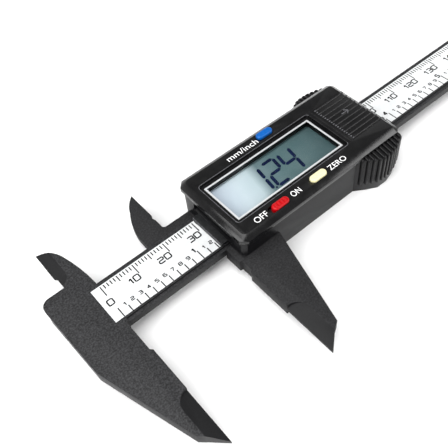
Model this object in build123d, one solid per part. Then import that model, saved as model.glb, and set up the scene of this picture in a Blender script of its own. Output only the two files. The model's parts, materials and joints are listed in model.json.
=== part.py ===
from build123d import *
import os

# A 150 mm / 6 inch digital caliper with a moulded composite beam and jaws, shown open.
# Two working frames are used, both in mm, with +X along the beam, +Y towards the
# inside jaws and +Z out of the display:
#   beam frame    x = 0 at the fixed measuring face, y = 0 on the beam's centreline,
#                 z = 0 at the top of the scale plate
#   slider frame  the same, but x = 0 at the moving measuring face
# At the end everything is moved so that the origin is at the bottom centre of the whole.

# ---------------------------------------------------------------- overall sizes
opening = 31.5             # distance between the measuring faces as shown
measuring_range = 150.0
over_travel = 3.5          # how far the slider runs past the range before the end stop
stop_gap = 0.1

# ---------------------------------------------------------------- beam and scale
beam_width = 15.0
beam_thickness = 3.3
beam_past_stop = 3.7       # bare beam beyond the end stop
land_width = 13.0          # raised middle of the beam that carries the scale
land_height = 0.6
beam_edge_chamfer = 0.4
plate_width = 11.8
plate_thickness = 0.3
plate_start = -2.6
plate_end_margin = 9.0     # black end of the beam past the scale plate
strip_width = 10.4
strip_thickness = 0.5
strip_inset = 3.0

# ---------------------------------------------------------------- jaws
jaw_thickness = 4.0
jaw_tip_y = -46.8
inside_tip_y = 26.7
inside_face_x = -7.4       # plane of both inside measuring faces when closed
parting_z = -1.5           # level where the two inside blades pass each other
parting_gap = 0.15
heel_y = -17.5             # where the outside measuring faces begin
heel_relief = 0.6
body_left_x = -14.2
body_top_y = 11.8
body_corner = 2.6
knife_width = 3.8          # thinned band along the outside faces near the tips
knife_depth = 1.5
knife_top_y = -31.0
blade_knife_width = 3.2    # thinned band along the inside faces
blade_knife_depth = 1.2
jaw_root = 14.1            # width of the moving jaw where it joins the frame

# ---------------------------------------------------------------- running fits
slide_gap = 0.15           # beam to slider, each side
land_gap = 0.2             # beam land to the slider's roof
board_gap = 0.35           # scale plate to the underside of the circuit board
fit_gap = 0.1              # small parts in their seats

# ---------------------------------------------------------------- slider frame
frame_start = 1.7
frame_side = 5.45          # frame each side of the beam
frame_bottom = -7.1
deep_start = 14.9          # where the frame's back steps down to its full depth
frame_wall = 1.2
frame_facet = 1.2
frame_corner = 2.0
channel_floor = 1.4        # material under the beam
web = 1.0                  # material over the beam, under the battery
mouth_height = 2.5
mouth_margin = 0.5         # mouth wider than the beam, each side
mouth_depth = 1.2
arm_width = 3.15           # arm that carries the moving inside blade
# plan of each thumb rest: distance before the frame's end, and how far it stands out
thumb_points = [(16.9, 0.0), (13.7, 2.2), (10.4, 4.0), (6.7, 4.0), (3.6, 3.2), (0.0, 1.5)]
thumb_crest_z = 5.0

# ---------------------------------------------------------------- front cover
cover_start = 1.0
cover_end_overhang = 0.4
cover_side_overhang = 1.0
cover_height = 2.4
cover_roof = 1.2
cover_wall = 1.2
cover_bevel_out = 1.6
cover_bevel_down = 1.1
cover_facet = 1.8
cover_corner = 2.0

# ---------------------------------------------------------------- display
display_start = 5.4        # left end of the glass
view_margin_x = 0.45       # glass hidden at each end
view_margin_y = 0.8
bezel_band_x = 0.75
bezel_band_y = 0.7
bezel_rise = 0.1           # bezel above the recess floor
bezel_seat = 0.5
recess_margin_x = 0.9
recess_margin_y = 1.25
recess_depth = 0.8
recess_corner = 1.0
window_lip = 0.3
window_thickness = 0.8
window_overlap = 0.2
land_depth = 0.8           # thickening under the roof that carries window and bezel
lcd_length = 38.6
lcd_width = 15.0
lcd_thickness = 1.1
reflector_thickness = 0.15
holder_wall = 1.0
holder_ledge = 1.3
zebra_width = 1.2

# ---------------------------------------------------------------- circuit board
board_start = 5.2
board_end_gap = 1.0
board_side_gap = 0.15
board_thickness = 1.0
board_notch = (3.1, 3.3)
board_screw_sink = 0.3     # board screws nearer the middle than the front screws
board_screw_inset = (5.4, 1.8)
bay_start = 4.0            # electronics bay in the frame
bay_past_glass = 2.0
bay_corner = (3.5, 3.3)    # solid corner blocks for the front screws

# ---------------------------------------------------------------- keys
key_length = 5.6
key_width = 2.3
key_rise = 0.8
switch_rise = 0.6          # the switch's knob, without its grip ribs
key_gap = 0.1
key_flange = 0.55
key_flange_rim = 0.35
key_inset = 3.0            # key centres inside the cover's sides
unit_key_offset = 6.0      # from the middle of the display
zero_key_offset = 5.6
switch_offset = -8.3
switch_travel = 1.2
carrier_lap = 0.6
stem_inset = 0.9           # stems nearer the middle than their keys
stem_diameter = 1.2
press_travel = 0.5
dome_diameter = 3.0
dome_height = 0.3

# ---------------------------------------------------------------- battery
cell_diameter = 11.6
cell_height = 5.4
cell_roof_gap = 0.1
cell_bay_wall = 1.15       # between the electronics bay and the battery bay
contact_thickness = 0.3
door_past_bay = 1.1
door_width = 16.4
door_tongue = 0.8
door_tongue_height = 0.45
door_tongue_ends = 1.2
cell_bay_margin = 0.25

# ---------------------------------------------------------------- depth rod and fasteners
rod_width = 2.2
rod_thickness = 1.1
rod_gap = 0.2
rod_start = 20.0           # left end of the rod in the slider frame
rod_foot = 4.0
rod_tip = 6.0
clip_length = 9.0
clip_width = 9.0
clip_thickness = 0.5
stop_length = 9.0
stop_side_margin = 1.0
stop_thickness = 1.2
stop_screw_inset = 2.2
stop_screw_depth = 1.8
back_start = 16.0
back_end_margin = 1.4
back_side_margin = 1.4
back_thickness = 1.2
back_screw_length = 3.2
gib_thickness = 0.7
gib_height = 2.0
gib_start = 7.0
gib_end_margin = 5.4
gib_screw_inset = (8.0, 18.0)
grub_diameter = 1.6
grub_socket = 0.45         # corner radius of the hexagon
grub_socket_depth = 0.9
grub_sink = 0.4            # grub screw below the frame's side
wiper_reach = 2.3
wiper_depth = 0.8
wiper_side_gap = 0.2       # narrower than the beam's land, each side
wiper_height = 1.0
wiper_gap = 0.15
screw_shank = 1.4
screw_head = 2.6
screw_head_height = 0.7
front_screw_inset = (1.35, 4.0)  # after the bay's start, and after its end
front_screw_clearance = 1.15     # screw past the gib
front_screw_post = 3.2

# ---------------------------------------------------------------- values that follow
half_beam = beam_width / 2
half_land = land_width / 2
half_channel = half_beam + slide_gap
half_frame = half_channel + frame_side
half_cover = half_frame + cover_side_overhang
roof_z = land_gap
floor_z = -beam_thickness - slide_gap
web_top = roof_z + web
cell_bottom = web_top + contact_thickness
roof_under = cell_bottom + cell_height + cell_roof_gap
cover_top = roof_under + cover_roof
frame_top = cover_top - cover_height
hollow_top = floor_z - channel_floor
back_inner = frame_bottom + back_thickness
gib_z = -(land_height + beam_thickness) / 2

display_x = display_start + lcd_length / 2
view_length = lcd_length - 2 * view_margin_x
view_width = lcd_width - 2 * view_margin_y
bezel_length = view_length + 2 * bezel_band_x
bezel_width = view_width + 2 * bezel_band_y
recess_length = bezel_length + 2 * recess_margin_x
recess_width = bezel_width + 2 * recess_margin_y
recess_floor = cover_top - recess_depth
land_under = roof_under - land_depth
window_top = land_under
lcd_top = window_top - window_thickness - fit_gap
lcd_bottom = lcd_top - lcd_thickness

bay_end = display_start + lcd_length + bay_past_glass
half_bay = half_frame - frame_wall
half_cell_bay = cell_diameter / 2 + cell_bay_margin
cell_x = bay_end + cell_bay_wall + half_cell_bay
frame_end = cell_x + half_cell_bay + cell_bay_wall
cover_end = frame_end + cover_end_overhang
door_start = bay_end + door_past_bay
back_end = frame_end - back_end_margin
half_back = half_frame - back_side_margin
gib_end = frame_end - gib_end_margin
gib_screw_x = (gib_start + gib_screw_inset[0], gib_end - gib_screw_inset[1])

front_screw_x = (bay_start + front_screw_inset[0], bay_end + front_screw_inset[1])
front_screw_y = half_channel + gib_thickness + front_screw_clearance + screw_shank / 2
board_end = bay_end - board_end_gap
half_board = half_bay - board_side_gap
board_top = board_gap + board_thickness
board_screw_x = (board_start + board_screw_inset[0], board_end - board_screw_inset[1])
board_screw_y = front_screw_y - board_screw_sink

key_y = half_cover - key_inset
stem_y = key_y - stem_inset
unit_key_x = display_x + unit_key_offset
zero_key_x = display_x + zero_key_offset
switch_x = display_x + switch_offset
flange_top = roof_under - 0.05
flange_bottom = flange_top - key_flange
stem_bottom = board_top + dome_height + press_travel + fit_gap

stop_start = measuring_range + over_travel + frame_end + stop_gap
half_stop = half_beam - stop_side_margin
beam_end = stop_start + stop_length + beam_past_stop
plate_end = beam_end - plate_end_margin


# ================================================================ small helpers
def block(x0, x1, y0, y1, z0, z1):
    """A box given by its two corners."""
    return Pos((x0 + x1) / 2, (y0 + y1) / 2, (z0 + z1) / 2) * Box(x1 - x0, y1 - y0, z1 - z0)


def slab(length, width, z0, z1, x=0.0, y=0.0, corner=0.0):
    """A plate centred at x, y, with rounded corners where asked for."""
    outline = RectangleRounded(length, width, corner) if corner else Rectangle(length, width)
    return Pos(x, y, z0) * extrude(outline, z1 - z0)


def capsule(length, width, z0, z1, x, y):
    return Pos(x, y, z0) * extrude(SlotOverall(length, width), z1 - z0)


def disc(diameter, z0, z1, x, y):
    return Pos(x, y, z0) * extrude(Circle(diameter / 2), z1 - z0)


def prism(points, z0, z1):
    return Pos(0, 0, z0) * extrude(make_face(Polyline(*points, close=True)), z1 - z0)


def screw(x, y, head_z, tip_z, head=screw_head, shank=screw_shank, height=screw_head_height):
    """A pan-head screw driven upwards, with a slot in its head."""
    body = disc(head, head_z, head_z + height, x, y) + disc(shank, head_z + height, tip_z, x, y)
    slot = block(x - head, x + head, y - 0.2, y + 0.2, head_z, head_z + height / 3)
    return body - slot


def screw_down(x, y, head_z, tip_z, head=screw_head, shank=screw_shank, height=screw_head_height):
    """The same screw driven downwards."""
    return mirror(screw(x, y, -head_z, -tip_z, head, shank, height), about=Plane.XY)


def knife_cut(face_x, outward, width, depth, y0, y1, surface_z, up):
    """A sloping cut along a measuring edge, deepest at face_x, with an arched inner end.

    outward is the way the measuring face looks, up is +1 on the front and -1 on the back.
    y1 is the end with the arch; y0 lies past the tip."""
    length = abs(y1 - y0)
    toward = 1 if y1 > y0 else -1
    wedge = Polyline((face_x - outward * width, surface_z),
                     (face_x + outward * width, surface_z - 2 * up * depth),
                     (face_x + outward * width, surface_z + up * depth),
                     (face_x - outward * width, surface_z + up * depth), close=True)
    side = Plane(origin=(0, min(y0, y1), 0), x_dir=(1, 0, 0), z_dir=(0, -1, 0))
    cut = extrude(side * make_face(wedge), -length)
    arch = Pos(face_x, y1 - toward * width, 0) * Circle(width)
    run = Pos(face_x, (y0 + y1 - toward * width) / 2, 0) * Rectangle(2 * width, length - width)
    mask = Pos(0, 0, surface_z - 3 * depth) * extrude(arch + run, 6 * depth)
    return cut & mask


# ================================================================ beam side
def beam_bar():
    """The bar with its raised land, its scale pocket and the rod groove in its back."""
    c = beam_edge_chamfer
    section = Polyline((-half_beam, -land_height), (-half_land, -land_height), (-half_land, 0),
                       (half_land, 0), (half_land, -land_height), (half_beam, -land_height),
                       (half_beam, -beam_thickness + c), (half_beam - c, -beam_thickness),
                       (-half_beam + c, -beam_thickness), (-half_beam, -beam_thickness + c),
                       close=True)
    end_plane = Plane(origin=(0, 0, 0), x_dir=(0, 1, 0), z_dir=(1, 0, 0))
    return extrude(end_plane * make_face(section), beam_end)


def fixed_body_outline():
    heel_x = -heel_relief
    left = Polyline((heel_x, -half_beam), (heel_x, heel_y + 0.1), (0, heel_y - 0.5), (0, jaw_tip_y),
                    (-3.6, jaw_tip_y + 4.2), (-5.2, jaw_tip_y + 5.7), (-13.4, -14.0),
                    (body_left_x, body_top_y - body_corner))
    corner = JernArc(start=(body_left_x, body_top_y - body_corner), tangent=(0, 1),
                     radius=body_corner, arc_size=-90)
    tip = (inside_face_x, inside_tip_y)
    top = Polyline(corner @ 1, (inside_face_x + 0.6, body_top_y), (inside_face_x + 0.6, 16.0),
                   (inside_face_x, 16.6), tip)
    crown = ThreePointArc(tip, (-4.7, 24.9), (-2.1, 20.6))
    back = TangentArc((-2.1, 20.6), (0, half_beam), tangent=crown % 1)
    close = Polyline((0, half_beam), (0, -half_beam), (heel_x, -half_beam))
    return make_face([left, corner, top, crown, back, close])


def beam_and_fixed_jaw():
    body = Pos(0, 0, -jaw_thickness) * extrude(fixed_body_outline(), jaw_thickness)
    # behind the corner and the blade, room for the moving blade and its arm
    body -= block(body_left_x - 1, 1, half_beam, inside_tip_y + 1, -jaw_thickness - 1, parting_z)
    body -= knife_cut(0, 1, knife_width, knife_depth, jaw_tip_y - 2, knife_top_y, 0, 1)
    body -= knife_cut(0, 1, knife_width, knife_depth, jaw_tip_y - 2, knife_top_y, -jaw_thickness, -1)
    body -= knife_cut(inside_face_x, -1, blade_knife_width, blade_knife_depth,
                      inside_tip_y + 2, body_top_y + 0.8, 0, 1)
    bar = body + beam_bar()
    strip_half = strip_width / 2
    bar -= block(plate_start, plate_end, -plate_width / 2, plate_width / 2, -plate_thickness, 1)
    bar -= block(plate_start + strip_inset, plate_end - strip_inset, -strip_half, strip_half,
                 -plate_thickness - strip_thickness, 0)
    groove_half = rod_width / 2 + rod_gap
    groove_start = rod_start - 4.0
    bar -= block(groove_start, beam_end + 1, -groove_half, groove_half,
                 -jaw_thickness, -beam_thickness + rod_thickness + rod_gap)
    for tool in stop_screws():
        bar -= tool
    return bar


def scale_plate():
    return block(plate_start, plate_end, -plate_width / 2, plate_width / 2, -plate_thickness, 0)


def scale_circuit_strip():
    return block(plate_start + strip_inset, plate_end - strip_inset, -strip_width / 2,
                 strip_width / 2, -plate_thickness - strip_thickness, -plate_thickness)


def stop_screws():
    x = stop_start + stop_length / 2
    y = half_stop - stop_screw_inset
    head_z = -beam_thickness - stop_thickness
    return [screw(x, s * y, head_z, -beam_thickness + stop_screw_depth) for s in (1, -1)]


def end_stop():
    plate = block(stop_start, stop_start + stop_length, -half_stop, half_stop,
                  -beam_thickness - stop_thickness, -beam_thickness)
    plate = chamfer(plate.edges().filter_by(Axis.Z), 1.0)
    for tool in stop_screws():
        plate -= tool
    return plate


# ================================================================ slider frame
def rail_outline():
    """Plan of the slider frame: faceted at the jaw end, rounded at the other."""
    f = frame_facet
    r = frame_corner
    h = half_frame
    lower = Polyline((frame_start, 0), (frame_start, -h + f), (frame_start + f, -h),
                     (frame_end - r, -h))
    near = JernArc(start=(frame_end - r, -h), tangent=(1, 0), radius=r, arc_size=90)
    side = Line((frame_end, -h + r), (frame_end, h - r))
    far = JernArc(start=(frame_end, h - r), tangent=(0, 1), radius=r, arc_size=90)
    upper = Polyline((frame_end - r, h), (frame_start + f, h), (frame_start, h - f),
                     (frame_start, 0))
    return make_face([lower, near, side, far, upper])


def outside_jaw():
    points = [(frame_start, -half_channel + 1), (frame_start, -half_channel),
              (-0.2, -half_channel), (-0.2, -13.2), (heel_relief, -13.4),
              (heel_relief, heel_y + 0.5), (0, heel_y - 0.1), (0, jaw_tip_y),
              (4.2, jaw_tip_y + 3.6), (6.0, jaw_tip_y + 4.6), (jaw_root, -half_frame),
              (jaw_root, -half_channel + 1)]
    jaw = prism(points, -jaw_thickness, 0)
    jaw -= knife_cut(0, -1, knife_width, knife_depth, jaw_tip_y - 2, knife_top_y, 0, 1)
    jaw -= knife_cut(0, -1, knife_width, knife_depth, jaw_tip_y - 2, knife_top_y,
                     -jaw_thickness, -1)
    return jaw


def inside_jaw():
    """The blade and its arm, which pass behind the fixed body."""
    top = parting_z - parting_gap
    x = inside_face_x
    arm_y = half_channel + arm_width
    tip = (x, inside_tip_y)
    heel = (-14.5, half_channel)
    back = Line(heel, (-14.5, 11.2))
    curve = TangentArc((-14.5, 11.2), (-11.4, 21.6), tangent=(0, 1))
    crown = ThreePointArc((-11.4, 21.6), (-9.6, 24.7), tip)
    face = Polyline(tip, (x, 16.6), (x - 0.5, 16.0), (x - 0.1, 14.5), (x - 0.1, arm_y + 0.9))
    inner = JernArc(start=(x - 0.1, arm_y + 0.9), tangent=(0, -1), radius=0.9, arc_size=90)
    arm = Polyline(inner @ 1, (frame_start + 2, arm_y), (frame_start + 2, half_channel), heel)
    blade = make_face([back, curve, crown, face, inner, arm])
    solid = Pos(0, 0, -jaw_thickness + 0.1) * extrude(blade, top + jaw_thickness - 0.1)
    return solid - knife_cut(x, 1, blade_knife_width, blade_knife_depth, inside_tip_y + 2,
                             body_top_y + 0.8, -jaw_thickness + 0.1, -1)


def thumb_rest(side):
    """A bulge with an upright outer face and a top that slopes up to the cover."""
    start = frame_end - thumb_points[0][0]
    points = [(frame_end - back, side * (half_frame + out)) for back, out in thumb_points]
    root = [(frame_end, side * (half_frame - 3)), (start, side * (half_frame - 3))]
    bulge = prism(points + root, frame_bottom, frame_top)
    reach = max(out for back, out in thumb_points) + 1
    drop = (frame_top - thumb_crest_z) * reach / (reach - 1)
    slope = Polyline((side * half_frame, frame_top), (side * (half_frame + reach), frame_top - drop),
                     (side * (half_frame + reach), frame_top + 1),
                     (side * half_frame, frame_top + 1), close=True)
    across_x = Plane(origin=(start - 1, 0, 0), x_dir=(0, 1, 0), z_dir=(1, 0, 0))
    return bulge - extrude(across_x * make_face(slope), frame_end)


def channel():
    """The way through the frame for the beam."""
    x0 = frame_start - 3
    x1 = frame_end + 1
    step = half_land + slide_gap
    return (block(x0, x1, -half_channel, half_channel, floor_z, -land_height + slide_gap)
            + block(x0, x1, -step, step, -land_height, roof_z))


def front_screw_places():
    return [(x, s * front_screw_y) for x in front_screw_x for s in (1, -1)]


def front_screws():
    """Four screws from the back of the frame up into the cover."""
    tools = []
    for x, y in front_screw_places():
        head_z = -jaw_thickness if x < deep_start else back_inner
        tools.append(screw(x, y, head_z, roof_under - 0.2))
    return tools


def back_screws():
    places = [(x, s * (half_back - 1.8)) for x in (back_start + 1.8, back_end - 1.8)
              for s in (1, -1)]
    return [screw(x, y, frame_bottom, frame_bottom + back_screw_length) for x, y in places]


def board_screws():
    places = [(x, s * board_screw_y) for x in board_screw_x for s in (1, -1)]
    return [screw_down(x, y, board_top + 0.6, -1.6, head=2.2, shank=1.1, height=0.6)
            for x, y in places]


def clip_screws():
    return [screw(rod_start + rod_foot / 2, s * (clip_width / 2 - 1.4),
                  hollow_top - clip_thickness - 0.35, hollow_top + 1.1,
                  head=1.9, shank=1.0, height=0.35) for s in (1, -1)]


def across(outline, x, y0, y1):
    """An outline extruded along +Y at the height of the gib."""
    plane = Plane(origin=(x, y0, gib_z), x_dir=(1, 0, 0), z_dir=(0, 1, 0))
    return extrude(plane * outline, y1 - y0)


def gib_screws():
    """Two grub screws in the far wall that set the gib."""
    start = half_channel + gib_thickness
    end = half_frame - grub_sink
    return [across(Circle(grub_diameter / 2), x, start, end)
            - across(RegularPolygon(grub_socket, 6), x, end - grub_socket_depth, end)
            for x in gib_screw_x]


def gib_screw_holes():
    start = half_channel + gib_thickness
    return [across(Circle(grub_diameter / 2), x, start, half_frame + 1) for x in gib_screw_x]


def slider_frame():
    box = Pos(0, 0, frame_bottom) * extrude(rail_outline(), frame_top - frame_bottom)
    # the back is shallow next to the jaws
    box -= block(0, deep_start, -half_frame - 1, half_frame + 1, frame_bottom - 1, -jaw_thickness)
    box += thumb_rest(-1)
    box += thumb_rest(1)
    # recess over the beam at the jaw end, and the seat of the wiper
    half_mouth = half_beam + mouth_margin
    box -= block(frame_start - 1, frame_start + mouth_depth, -half_mouth, half_mouth,
                 web_top, web_top + mouth_height)
    box -= wiper_block()
    # electronics bay, with solid corners at the jaw end
    bay = block(bay_start, bay_end, -half_bay, half_bay, board_gap, frame_top + 1)
    for s in (1, -1):
        y = sorted((s * (half_bay - bay_corner[1]), s * (half_bay + 1)))
        bay -= block(bay_start, bay_start + bay_corner[0], y[0], y[1], board_gap, frame_top + 2)
    box -= bay
    step = half_land + slide_gap
    box -= block(board_start, board_end, -step, step, 0, board_gap + 0.1)
    # battery bay
    box -= block(cell_x - half_cell_bay, cell_x + half_cell_bay, -half_cell_bay - 1,
                 half_cell_bay + 1, web_top, frame_top + 1)
    box += outside_jaw() + inside_jaw()
    box -= channel()
    # gib seat along the far side of the beam
    box -= block(gib_start, gib_end, half_channel - 0.1, half_channel + gib_thickness,
                 gib_z - gib_height / 2, gib_z + gib_height / 2)
    # back: seat of the back cover and the hollow behind it
    box -= block(back_start, back_end, -half_back, half_back, frame_bottom - 1, back_inner)
    box -= block(back_start + 1.5, back_end - 1.5, -half_channel - 0.6, half_channel + 0.6,
                 back_inner - 0.1, hollow_top)
    box -= block(rod_start, rod_start + rod_foot, -rod_width / 2, rod_width / 2,
                 hollow_top - 0.1, floor_z + 0.1)
    for tool in front_screws() + back_screws() + board_screws() + clip_screws() + gib_screw_holes():
        box -= tool
    return box


def wiper_block():
    x1 = frame_start + wiper_depth
    half_wiper = half_land - wiper_side_gap
    bar = block(frame_start - wiper_reach, x1, -half_wiper, half_wiper,
                wiper_gap, wiper_gap + wiper_height)
    front = bar.edges().filter_by(Axis.Y).group_by(Axis.X)[0].sort_by(Axis.Z)[-1]
    return chamfer(front, 0.45)


def back_cover():
    g = fit_gap / 2
    plate = block(back_start + g, back_end - g, -half_back + g, half_back - g,
                  frame_bottom, back_inner)
    plate = chamfer(plate.faces().sort_by(Axis.Z)[0].edges(), 0.3)
    for tool in back_screws():
        plate -= tool
    return plate


# ================================================================ front cover and display
def cover_outline():
    f = cover_facet
    r = cover_corner
    h = half_cover
    lower = Polyline((cover_start, 0), (cover_start, -h + f), (cover_start + f, -h),
                     (cover_end - r, -h))
    near = JernArc(start=(cover_end - r, -h), tangent=(1, 0), radius=r, arc_size=90)
    side = Line((cover_end, -h + r), (cover_end, h - r))
    far = JernArc(start=(cover_end, h - r), tangent=(0, 1), radius=r, arc_size=90)
    upper = Polyline((cover_end - r, h), (cover_start + f, h), (cover_start, h - f),
                     (cover_start, 0))
    return make_face([lower, near, side, far, upper])


def cover_shape():
    """The outer form of the cover, solid: a low box with sloping edges."""
    solid = Pos(0, 0, frame_top) * extrude(cover_outline(), cover_top - frame_top)
    top = solid.faces().sort_by(Axis.Z)[-1]
    return chamfer(top.edges(), cover_bevel_out, cover_bevel_down, reference=top)


def key_places():
    return [(unit_key_x, key_y), (zero_key_x, -key_y)]


def door_opening():
    return block(door_start, cover_end + 1, -door_width / 2, door_width / 2,
                 roof_under, cover_top + 1)


def door_grooves():
    g = fit_gap
    z0 = roof_under + 0.2 - g
    z1 = z0 + door_tongue_height + 2 * g
    half = door_width / 2 + door_tongue + g
    return block(door_start + door_tongue_ends - g, cover_end + 1, -half, half, z0, z1)


def front_cover():
    cover = cover_shape()
    inner = half_cover - cover_wall
    hollow = block(cover_start + cover_wall, cover_end - cover_wall, -inner, inner,
                   frame_top - 1, roof_under)
    # posts for the four screws, and the thickening round the window
    for x, y in front_screw_places():
        hollow -= disc(front_screw_post, frame_top, roof_under, x, y)
    land = slab(bezel_length + 2, bezel_width + 2, land_under, roof_under, display_x)
    cover -= hollow
    cover += land
    cover -= slab(recess_length, recess_width, recess_floor, cover_top + 1, display_x, 0,
                  recess_corner)
    cover -= slab(bezel_length + fit_gap, bezel_width + fit_gap, recess_floor - bezel_seat,
                  cover_top + 1, display_x)
    cover -= slab(view_length + 2 * window_lip, view_width + 2 * window_lip, land_under - 1,
                  cover_top + 1, display_x)
    for x, y in key_places():
        cover -= capsule(key_length + 2 * key_gap, key_width + 2 * key_gap, roof_under - 1,
                         cover_top + 1, x, y)
    cover -= capsule(key_length + 2 * key_gap + switch_travel, key_width + 2 * key_gap,
                     roof_under - 1, cover_top + 1, switch_x - switch_travel / 2, -key_y)
    cover -= door_opening()
    cover -= door_grooves()
    cover -= block(cell_x - half_cell_bay, cell_x + half_cell_bay, -half_cell_bay,
                   half_cell_bay, frame_top - 1, roof_under + 0.1)
    for tool in front_screws():
        cover -= tool
    return cover


def display_bezel():
    z0 = recess_floor - bezel_seat
    ring = slab(bezel_length, bezel_width, z0, recess_floor + bezel_rise, display_x)
    ring = chamfer(ring.faces().sort_by(Axis.Z)[-1].edges(), 0.15)
    return ring - slab(view_length, view_width, z0 - 1, cover_top, display_x)


def display_window():
    length = view_length + 2 * window_lip + 2 * window_overlap
    width = view_width + 2 * window_lip + 2 * window_overlap
    return slab(length, width, window_top - window_thickness, window_top, display_x)


def lcd_panel():
    """Two bonded glass sheets; the lower one is wider, with the contact edges."""
    middle = (lcd_bottom + lcd_top) / 2
    return (slab(lcd_length, lcd_width, lcd_bottom, middle, display_x)
            + slab(lcd_length, lcd_width - 2, middle, lcd_top, display_x))


def lcd_reflector():
    width = lcd_width - 2 * (zebra_width + 1.0)
    return slab(lcd_length - 2 * holder_ledge - 0.4, width, lcd_bottom - reflector_thickness,
                lcd_bottom, display_x)


def lcd_holder():
    """A tray open top and bottom, with ledges under the two ends of the glass."""
    length = lcd_length + 2 * fit_gap
    width = lcd_width + 2 * fit_gap
    tray = slab(length + 2 * holder_wall, width + 2 * holder_wall, board_top, lcd_top, display_x)
    tray -= slab(length, width, lcd_bottom, lcd_top + 1, display_x)
    return tray - slab(length - 2 * holder_ledge, width, board_top - 1, lcd_top, display_x)


def zebra_strips():
    length = lcd_length - 2 * holder_ledge - 0.6
    y = lcd_width / 2 - zebra_width / 2
    return [slab(length, zebra_width, board_top, lcd_bottom, display_x, s * y) for s in (1, -1)]


# ================================================================ circuit board
def circuit_board():
    board = block(board_start, board_end, -half_board, half_board, board_gap, board_top)
    for s in (1, -1):
        y = sorted((s * (half_board - board_notch[1]), s * (half_board + 1)))
        board -= block(board_start - 1, board_start + board_notch[0], y[0], y[1],
                       board_gap - 1, board_top + 1)
    for tool in board_screws():
        board -= tool
    return board


def controller_chip():
    return slab(7.0, 7.0, board_top, board_top + 1.0, display_x, 0, 1.2)


def board_components():
    """A clock crystal and four small capacitors beside the chip."""
    parts = [slab(6.0, 2.0, board_top, board_top + 1.6, display_x - 10, 2.5, 0.9)]
    for i in range(4):
        parts.append(slab(1.6, 0.8, board_top, board_top + 0.7, display_x + 7 + 2.6 * i, -2.5))
    return parts


def contact_domes():
    """Two sprung metal domes that the keys press and that lift them again."""
    radius = ((dome_diameter / 2) ** 2 + dome_height ** 2) / (2 * dome_height)
    domes = []
    for x, y in key_places():
        place = (x, stem_y if y > 0 else -stem_y)
        ball = Pos(*place, board_top + dome_height - radius) * Sphere(radius)
        domes.append(ball & disc(dome_diameter, board_top, board_top + dome_height, *place))
    return domes


# ================================================================ keys and switch
def key_cap(x, y, top):
    cap = capsule(key_length, key_width, flange_top, top, x, y)
    return fillet(cap.faces().sort_by(Axis.Z)[-1].edges(), 0.5)


def press_key(x, y):
    s = 1 if y > 0 else -1
    rim = key_flange_rim
    flange = capsule(key_length + 2 * rim + 2 * key_gap, key_width + 2 * rim + 2 * key_gap,
                     flange_bottom, flange_top, x, y)
    stem = disc(stem_diameter, stem_bottom, flange_bottom, x, s * stem_y)
    return key_cap(x, y, cover_top + key_rise) + flange + stem


def mm_inch_button():
    return press_key(unit_key_x, key_y)


def zero_button():
    return press_key(zero_key_x, -key_y)


def power_switch():
    """The knob, seated on its carrier."""
    return key_cap(switch_x, -key_y, cover_top + switch_rise)


def switch_carrier():
    """A black slide under the knob that closes the slot at both ends of its travel."""
    x, y = switch_x, -key_y
    plate = slab(key_length + 2 * (key_gap + switch_travel + carrier_lap),
                 key_width + 2 * (key_flange_rim + key_gap), flange_bottom, flange_top, x, y)
    return plate + slab(2.4, stem_diameter, board_top + 0.9, flange_bottom, x, -stem_y)


def switch_contact():
    """A two-footed leaf under the switch's stem, running on the board."""
    x, y = switch_x, -stem_y
    z = board_top + 0.9
    leaf = slab(5.0, stem_diameter, z - 0.2, z, x, y)
    for s in (1, -1):
        leaf += slab(0.8, stem_diameter, board_top + 0.05, z - 0.2, x + 2.1 * s, y)
    return leaf


# ================================================================ battery
def button_cell():
    top = cell_bottom + cell_height
    can = disc(cell_diameter, cell_bottom + 0.8, top, cell_x, 0)
    can = fillet(can.edges().group_by(Axis.Z)[-1], 0.4)
    return can + disc(cell_diameter - 1.6, cell_bottom, cell_bottom + 0.8, cell_x, 0)


def negative_contact():
    strap = slab(9.0, 4.0, web_top, cell_bottom, cell_x, 0)
    return strap + block(cell_x - half_cell_bay, cell_x, -1.0, 1.0, web_top, cell_bottom)


def positive_contact():
    """An upright leaf beside the can, with a foot."""
    y = cell_diameter / 2 + 0.1
    leaf = block(cell_x - 4, cell_x + 4, y, y + contact_thickness, web_top, frame_top)
    return leaf + block(cell_x - 4, cell_x + 4, y, half_cell_bay + 1, web_top, cell_bottom)


def battery_door():
    g = fit_gap
    blank = cover_shape() & block(door_start + g, cover_end + 1, -door_width / 2 + g,
                                  door_width / 2 - g, roof_under + g, cover_top + 1)
    half = door_width / 2 + door_tongue
    tongue = block(door_start + door_tongue_ends, cover_end - 1.0 - cover_bevel_out, -half, half,
                   roof_under + 0.2, roof_under + 0.2 + door_tongue_height)
    return blank + tongue


# ================================================================ slide parts and depth rod
def gib_strip():
    half = gib_height / 2 - fit_gap / 2
    return block(gib_start + fit_gap, gib_end - fit_gap, half_channel - fit_gap / 2,
                 half_channel + gib_thickness, gib_z - half, gib_z + half)


def depth_rod():
    """A flat rod with a foot that drops through the frame's floor."""
    z0 = -beam_thickness
    z1 = z0 + rod_thickness
    end = beam_end
    rod = block(rod_start, end - rod_tip, -rod_width / 2, rod_width / 2, z0, z1)
    rod += block(end - rod_tip, end, -rod_width / 4, rod_width / 4, z0, z1)
    return rod + block(rod_start, rod_start + rod_foot, -rod_width / 2, rod_width / 2,
                       hollow_top, z0)


def rod_clip():
    x = rod_start + rod_foot / 2
    plate = slab(clip_length, clip_width, hollow_top - clip_thickness, hollow_top, x, 0, 1.0)
    for tool in clip_screws():
        plate -= tool
    return plate


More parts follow.
